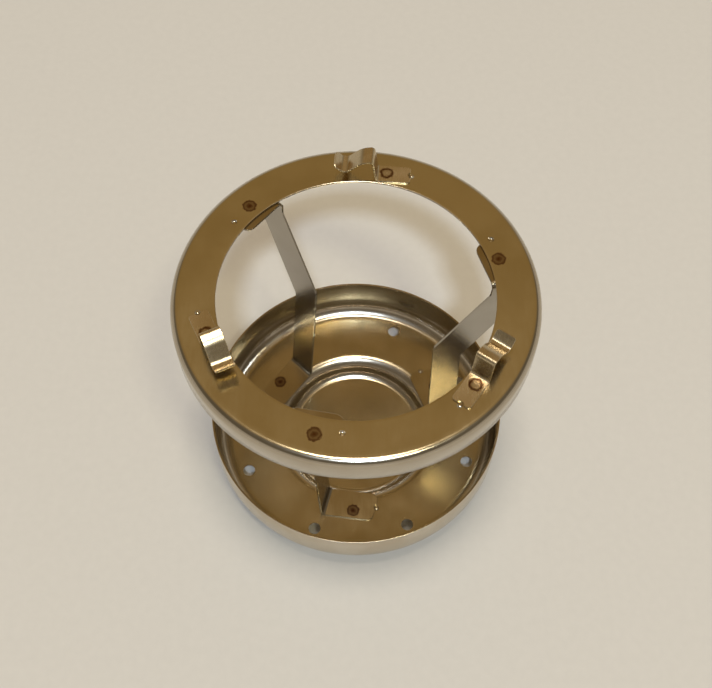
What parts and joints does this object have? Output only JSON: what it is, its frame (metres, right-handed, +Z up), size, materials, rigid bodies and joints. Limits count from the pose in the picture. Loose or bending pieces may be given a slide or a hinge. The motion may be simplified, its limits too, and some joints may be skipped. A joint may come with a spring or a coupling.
{
  "type": "gas burner ring",
  "caption": "Flanged sheet-steel ring on bent upright legs over a shallow perforated dish, with spring clips on top of the ring.",
  "frame": {"origin": "on the common axis of ring and dish, at the flat underside of the dish's centre cup, which it stands on", "axes": "+Z up along the axis, from the dish to the ring; +X to the right and -Y towards the camera of the picture"},
  "size_m": [0.1, 0.1, 0.0974],
  "materials": {
    "ring_steel": "rolled stainless sheet, satin",
    "dish_steel": "drawn stainless sheet, fairly bright",
    "leg_steel": "rolled stainless sheet, satin",
    "clip_steel": "spring steel strip, fairly bright"
  },
  "bodies": {
    "root": {"top_ring": "ring_steel", "base_dish": "dish_steel", "leg_1": "leg_steel", "leg_2": "leg_steel", "leg_3": "leg_steel", "clip_1": "clip_steel", "clip_2": "clip_steel", "clip_3": "clip_steel"}
  },
  "joints": []
}
